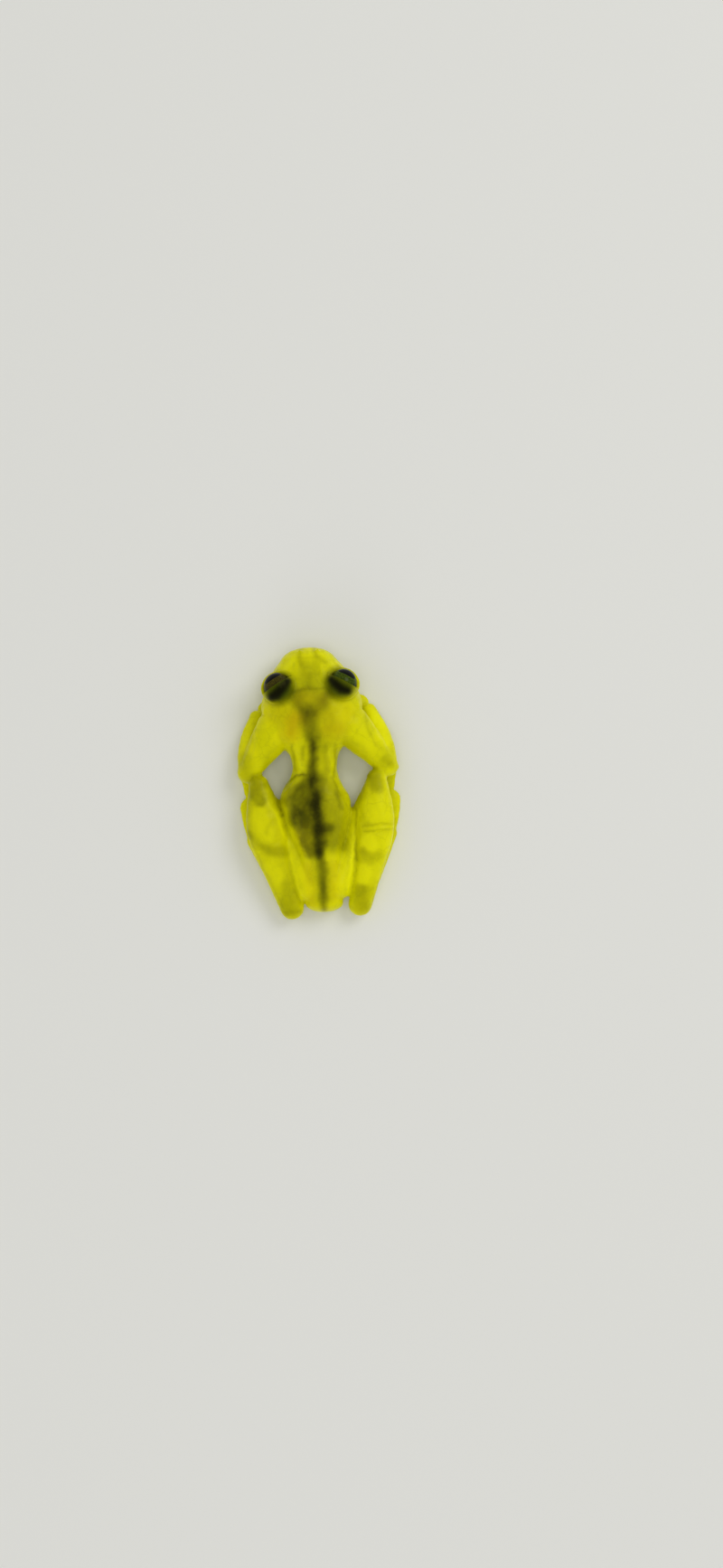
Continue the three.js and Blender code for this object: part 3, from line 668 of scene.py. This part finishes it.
WARM = (
    (((1.6, 7.0, 0.4), (2.1, 8.0, 0.3)), 0.6, 0.9),
    (((3.0, 6.0, 0.5), (-3.0, 6.4, 0.5)), 0.25, 1.2),
    (((-1.3, 8.0, 0.3), (-2.4, 8.0, 0.3)), 0.35, 0.9),
    (((1.1, 4.6, 0.3), (-1.0, 4.8, 0.3)), 0.3, 0.7),
    (((1.4, 17.6, 0.5), (1.3, 18.8, 0.3)), 0.25, 0.7),
    (((1.2, 20.8, 0.3), (1.1, 24.0, 0.2)), 0.25, 0.6),
    (((-1.2, 20.6, 0.3), (-1.0, 23.6, 0.2)), 0.25, 0.6),
)
# The dark back of each eyeball, seen through the lid, and the soft shade round it.
EYE_BACK = (
    (((3.65, 4.5, 0.12), (3.25, 4.3, 0.2), (2.6, 3.7, 0.18), (2.1, 3.15, 0.05)), 0.93, 0.42),
    (((-3.5, 4.35, 0.06), (-2.9, 4.1, 0.16), (-2.35, 3.6, 0.13), (-2.0, 3.2, 0.0)), 0.93, 0.42),
)
EYE_SHADE = (
    (((3.0, 3.7, 1.05),) * 2, 0.72, 0.75),
    (((-2.85, 3.6, 1.05),) * 2, 0.68, 0.75),
)
SCREEN_GAMMA = 2.2  # from brightness as the eye sees it to light
SEED = 5
BACK_MARKS_FROM, EYE_BACK_FROM, EYE_SHADE_FROM = 1.1, 4.0, 2.9  # lowest height that each reaches


def marked(flesh):
    """Writes how dark, pale, warm and eye-dark the skin is at each of its points, some of it painted light
    and shade, and how far each point faces up, for the painted light on the sides.
    """
    place, facing = arrays(flesh.data)
    noise.seed_set(SEED)
    drift = np.array([noise.noise_vector(Vector(p) * 0.9) for p in place])
    ripple = np.array([noise.noise_vector(Vector(p) * 3.1) for p in place])
    seen = place[:, :2] + 0.16 * drift[:, :2] + 0.07 * ripple[:, :2]
    steady = place[:, :2] + 0.03 * drift[:, :2]
    upward = eased((facing[:, 2] + 0.2) / 0.9)
    clouds = np.clip(1 + 0.3 * drift[:, 2] + 0.12 * ripple[:, 2], 0.75, 1.1)
    on_back = clouds * eased((facing[:, 2] + 0.3) / 0.6)
    on_lid = eased((facing[:, 2] + 0.1) / 0.5)
    for name, lines, spots, share, lowest in (
        ("dark", DARK, seen, on_back, BACK_MARKS_FROM),
        ("pale", PALE, seen, on_back, BACK_MARKS_FROM),
        ("warm", WARM, seen, on_back, BACK_MARKS_FROM),
        ("eye_back", EYE_BACK, steady, on_lid, EYE_BACK_FROM),
        ("eye_shade", EYE_SHADE, steady, on_lid, EYE_SHADE_FROM),
    ):
        value = np.zeros(len(place))
        for points, strength, soft in lines:
            value = 1 - (1 - value) * (1 - strength * on_line(points, spots, soft))
        value *= share * eased((place[:, 2] - lowest) / 0.6)
        if lines not in (PALE, WARM):
            value = 1 - (1 - value) ** SCREEN_GAMMA
        flesh.data.attributes.new(name, "FLOAT", "POINT").data.foreach_set("value", value)
    # how far each point faces up, which sets the painted light on the sides
    flesh.data.attributes.new("back", "FLOAT", "POINT").data.foreach_set("value", upward)


# Eyes

def eyeball(side):
    """An eyeball with its pole along the gaze: a clear front bulges over the iris."""
    bm = bmesh.new()
    made = bmesh.ops.create_uvsphere(bm, u_segments=96, v_segments=64, radius=EYE_RADIUS)["verts"]
    for v in made:
        front = max(0, v.co.z / EYE_RADIUS - 0.45) / 0.55
        v.co *= 1 + CORNEA_BULGE * front * front * (3 - 2 * front)
    look = gaze(side)
    level = look.cross(Vector((0, 0, 1))).normalized()
    turn = Matrix((level, look.cross(level), look)).transposed()
    places = {v: v.co.copy() for v in made}
    layer = bm.loops.layers.uv.new("gaze")
    for face in bm.faces:
        face.smooth = True
        for corner in face.loops:
            spot = places[corner.vert]
            in_front = spot.z > 0
            corner[layer].uv = (0.5 + spot.x / 4, 0.5 + spot.y / 4) if in_front else (0, 0)
    place = Matrix.Translation(eye_centre(side)) @ turn.to_4x4()
    bmesh.ops.transform(bm, matrix=place, verts=bm.verts[:])
    return bm


# Materials

def material(name, **sockets):
    """A new material with values set on its surface, and the surface."""
    made = bpy.data.materials.new(name)
    made.use_nodes = True
    surface = made.node_tree.nodes["Principled BSDF"]
    for socket, value in sockets.items():
        surface.inputs[socket.replace("_", " ")].default_value = value
    return made, surface


class Wiring:
    """Short words for adding nodes to a material and joining them up."""

    def __init__(self, made):
        self.tree = made.node_tree

    def node(self, kind, **settings):
        made = self.tree.nodes.new(kind)
        for name, value in settings.items():
            setattr(made, name, value)
        return made

    def join(self, source, socket):
        self.tree.links.new(source, socket)

    def feed(self, value, socket):
        if hasattr(value, "links"):
            self.join(value, socket)
        else:
            socket.default_value = value

    def attribute(self, name):
        return self.node("ShaderNodeAttribute", attribute_name=name).outputs["Fac"]

    def millimetres(self):
        place = self.node("ShaderNodeMapping")
        place.inputs["Scale"].default_value = (1000, 1000, 1000)
        self.join(self.node("ShaderNodeTexCoord").outputs["Object"], place.inputs["Vector"])
        return place.outputs["Vector"]

    def noise(self, where, scale, detail=3, roughness=0.55, output="Fac"):
        made = self.node("ShaderNodeTexNoise")
        self.join(where, made.inputs["Vector"])
        made.inputs["Scale"].default_value = scale
        made.inputs["Detail"].default_value = detail
        made.inputs["Roughness"].default_value = roughness
        return made.outputs[output]

    def spread(self, value, low, high, to_low=0, to_high=1):
        made = self.node("ShaderNodeMapRange", interpolation_type="SMOOTHSTEP")
        self.join(value, made.inputs["Value"])
        for socket, number in zip(("From Min", "From Max", "To Min", "To Max"), (low, high, to_low, to_high)):
            made.inputs[socket].default_value = number
        return made.outputs["Result"]

    def sum(self, kind, a, b):
        made = self.node("ShaderNodeMath", operation=kind)
        self.feed(a, made.inputs[0])
        self.feed(b, made.inputs[1])
        return made.outputs[0]

    def mixed(self, share, a, b):
        made = self.node("ShaderNodeMix", data_type="RGBA")
        self.feed(share, made.inputs["Factor"])
        self.feed(a, made.inputs[6])
        self.feed(b, made.inputs[7])
        return made.outputs[2]


def srgb(red, green, blue):
    """A colour given as it looks on a screen, 0 to 255, as light."""
    light = (((c / 255 + 0.055) / 1.055) ** 2.4 if c > 10 else c / 255 / 12.92 for c in (red, green, blue))
    return (*light, 1)


def frog_skin():
    """Moist yellow-green skin that light sinks into, with its markings (painted light and shade among them),
    freckles and fine vessels, and painted light that makes its sides paler.
    """
    made, surface = material(
        "moist_frog_skin",
        IOR=1.4, Specular_IOR_Level=0.2, Specular_Tint=(1, 0.98, 0.25, 1),
        Subsurface_Radius=(1.0, 0.95, 0.1), Subsurface_Scale=0.0012, Coat_Roughness=0.22, Coat_IOR=1.36,
    )
    w = Wiring(made)
    where = w.millimetres()
    broad = w.noise(where, 0.35, 2)
    cloudy = w.noise(where, 1.6, 4)
    grain = w.noise(where, 9, 3, 0.65)
    colour = w.mixed(w.spread(broad, 0.35, 0.68), srgb(222, 219, 4), srgb(210, 209, 3))
    colour = w.mixed(w.spread(cloudy, 0.5, 0.72, 0, 0.4), colour, srgb(196, 197, 3))
    # painted light: the less a point faces up, the paler its yellow, which lightens the sides, thin edges and
    # underside
    painted_side_light = w.sum("SUBTRACT", 1, w.attribute("back"))
    colour = w.mixed(w.sum("MULTIPLY", painted_side_light, 0.7), colour, srgb(234, 233, 22))
    colour = w.mixed(w.attribute("pale"), colour, srgb(246, 244, 12))
    colour = w.mixed(w.attribute("warm"), colour, srgb(188, 160, 3))
    colour = w.mixed(w.attribute("dark"), colour, srgb(20, 20, 0))
    freckles = w.spread(grain, 0.62, 0.74, 0, 0.3)
    colour = w.mixed(freckles, colour, srgb(158, 160, 4))
    wander = w.node("ShaderNodeVectorMath", operation="MULTIPLY_ADD")
    w.join(w.noise(where, 1.1, 3, 0.6, "Color"), wander.inputs[0])
    wander.inputs[1].default_value = (1.1, 1.1, 1.1)
    w.join(where, wander.inputs[2])
    vessels = w.node("ShaderNodeTexVoronoi", feature="DISTANCE_TO_EDGE")
    w.join(wander.outputs["Vector"], vessels.inputs["Vector"])
    vessels.inputs["Scale"].default_value = 0.75
    thin = w.spread(vessels.outputs["Distance"], 0.0, 0.07, 1, 0)
    faint = w.spread(broad, 0.42, 0.6, 0, 0.1)
    colour = w.mixed(w.sum("MULTIPLY", thin, faint), colour, srgb(104, 100, 2))
    colour = w.mixed(w.attribute("eye_shade"), colour, srgb(22, 46, 2))
    colour = w.mixed(w.attribute("eye_back"), colour, srgb(3, 5, 2))
    w.join(colour, surface.inputs["Base Color"])
    w.join(w.spread(cloudy, 0.35, 0.65, 0.34, 0.48), surface.inputs["Roughness"])
    clear = w.sum("SUBTRACT", 1, w.attribute("eye_shade"))
    w.join(w.sum("MULTIPLY", clear, 0.7), surface.inputs["Subsurface Weight"])
    w.join(w.sum("MULTIPLY", clear, 0.1), surface.inputs["Coat Weight"])
    granules = w.node("ShaderNodeTexVoronoi", feature="SMOOTH_F1")
    w.join(where, granules.inputs["Vector"])
    granules.inputs["Scale"].default_value = 5.2
    dimples = w.sum("MULTIPLY", granules.outputs["Distance"], 0.9)
    pores = w.sum("SUBTRACT", w.sum("MULTIPLY", grain, 0.5), dimples)
    bump = w.node("ShaderNodeBump")
    bump.inputs["Strength"].default_value = 0.35
    bump.inputs["Distance"].default_value = 0.00006
    w.join(pores, bump.inputs["Height"])
    w.join(bump.outputs["Normal"], surface.inputs["Normal"])
    return made


def wet_eye(name, iris_light, iris_deep):
    """A glossy eye: a netted iris round a pupil that is wider than high, with a dark rim."""
    made, surface = material(
        name, Roughness=0.3, IOR=1.4, Specular_IOR_Level=0.05,
        Coat_Weight=0.2, Coat_Roughness=0.03, Coat_IOR=1.38,
    )
    w = Wiring(made)
    uv = w.node("ShaderNodeUVMap", uv_map="gaze").outputs["UV"]
    place = w.node("ShaderNodeMapping")
    place.inputs["Location"].default_value = (-2, -2, 0)
    place.inputs["Scale"].default_value = (4, 4, 1)
    w.join(uv, place.inputs["Vector"])
    apart = w.node("ShaderNodeSeparateXYZ")
    w.join(place.outputs["Vector"], apart.inputs["Vector"])
    x, y = apart.outputs["X"], apart.outputs["Y"]
    from_middle = w.sum("SQRT", w.sum("ADD", w.sum("MULTIPLY", x, x), w.sum("MULTIPLY", y, y)), 0)
    wide = w.sum("POWER", w.sum("DIVIDE", w.sum("ABSOLUTE", x, 0), 0.82), 2.2)
    high = w.sum("POWER", w.sum("DIVIDE", w.sum("ABSOLUTE", y, 0), 0.42), 2.2)
    pupil = w.sum("ADD", wide, high)
    where = w.millimetres()
    net = w.noise(where, 9, 4, 0.62)
    colour = w.mixed(w.spread(net, 0.32, 0.68), iris_deep, iris_light)
    colour = w.mixed(w.spread(pupil, 1.1, 1.7, 0.6, 0), colour, iris_light)
    colour = w.mixed(w.spread(from_middle, 1.02, 1.3), colour, srgb(14, 18, 4))
    colour = w.mixed(w.spread(pupil, 0.95, 1.12, 1, 0), colour, (0.0015, 0.0015, 0.0012, 1))
    w.join(colour, surface.inputs["Base Color"])
    return made


# The frog

def finished(thing, finish, slot, *nodes):
    """Takes a piece to metres and the frame's origin, gives it its finish, hangs it on the root and hides the
    parts that it stands for.
    """
    thing.data.transform(Matrix.Diagonal((MM, MM, MM, 1)) @ Matrix.Translation((AXIS_OFFSET, -MID_LENGTH, 0)))
    thing.data.materials.clear()
    thing.data.materials.append(finish)
    thing.data.polygons.foreach_set("use_smooth", [True] * len(thing.data.polygons))
    thing.data.update()
    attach(thing, "root")
    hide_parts(*nodes)


SIDE_NAMES = {1: "left", -1: "right"}
FLESH_NODES = ["head", "torso"] + [
    f"{part}_{name}"
    for name in SIDE_NAMES.values()
    for part in ("upper_arm", "forearm", "hand", "thigh", "shank", "tarsus", "foot")
]

skin = fused_flesh()
shaped(skin)
carve_face(skin)
marked(skin)
finished(skin, frog_skin(), "skin", *FLESH_NODES)

IRIS = {1: (srgb(74, 68, 10), srgb(38, 33, 3)), -1: (srgb(72, 90, 10), srgb(36, 48, 4))}
for side, name in SIDE_NAMES.items():
    eye = new_object(f"eyeball_{name}", eyeball(side))
    finished(eye, wet_eye(f"wet_eye_{name}", *IRIS[side]), "eye", f"eye_{name}")


# Floor, light and camera

def stage_and_light():
    """A pale floor and soft lamps: where each stands in metres, its size, and its power."""
    bm = bmesh.new()
    bmesh.ops.create_grid(bm, x_segments=2, y_segments=2, size=3)
    floor = new_object("floor", bm)
    pale, _ = material("pale_floor", Base_Color=(0.8, 0.8, 0.77, 1), Roughness=0.75)
    floor.data.materials.append(pale)
    floor.location.z = -0.00001
    lamps = (
        ("key", (-0.26, -0.19, 0.38), 0.26, 0.56),
        ("overhead", (0.0, 0.05, 0.65), 0.32, 0.66),
        ("rim", (0.1, 0.34, 0.2), 0.24, 0.16),
    )
    for name, spot, size, power in lamps:
        light = bpy.data.lights.new(name, "AREA")
        light.shape, light.size, light.energy = "DISK", size, power
        lamp = bpy.data.objects.new(name, light)
        lamp.location = spot
        lamp.visible_glossy = name == "key"
        lamp.rotation_euler = (-Vector(spot)).to_track_quat("-Z", "Y").to_euler()
        bpy.context.scene.collection.objects.link(lamp)
    world = bpy.data.worlds.new("soft_room")
    world.use_nodes = True
    world.node_tree.nodes["Background"].inputs["Color"].default_value = (1, 1, 0.97, 1)
    world.node_tree.nodes["Background"].inputs["Strength"].default_value = 0.52
    bpy.context.scene.world = world
    bpy.context.scene.view_settings.view_transform = "Standard"


def camera():
    """Looks straight down, turned so that the snout points up the picture and a little to the left."""
    lens, sensor, picture_height, pixels_per_mm = 100, 36, 1734, 11.7
    aim = (-4.28, 13.17, 3.5)
    turn = math.radians(3.33)
    right = Vector((-math.cos(turn), math.sin(turn), 0))
    up = Vector((-math.sin(turn), -math.cos(turn), 0))
    data = bpy.data.cameras.new("camera")
    data.sensor_width, data.lens, data.sensor_fit = sensor, lens, "AUTO"
    data.clip_start, data.clip_end = 0.01, 5
    away = picture_height / pixels_per_mm * lens / sensor
    eye = bpy.data.objects.new("camera", data)
    centre = Vector((aim[0] + AXIS_OFFSET, aim[1] - MID_LENGTH, aim[2] + away)) * MM
    eye.matrix_world = Matrix.Translation(centre) @ Matrix((right, up, right.cross(up))).transposed().to_4x4()
    bpy.context.scene.collection.objects.link(eye)
    bpy.context.scene.camera = eye


stage_and_light()
camera()
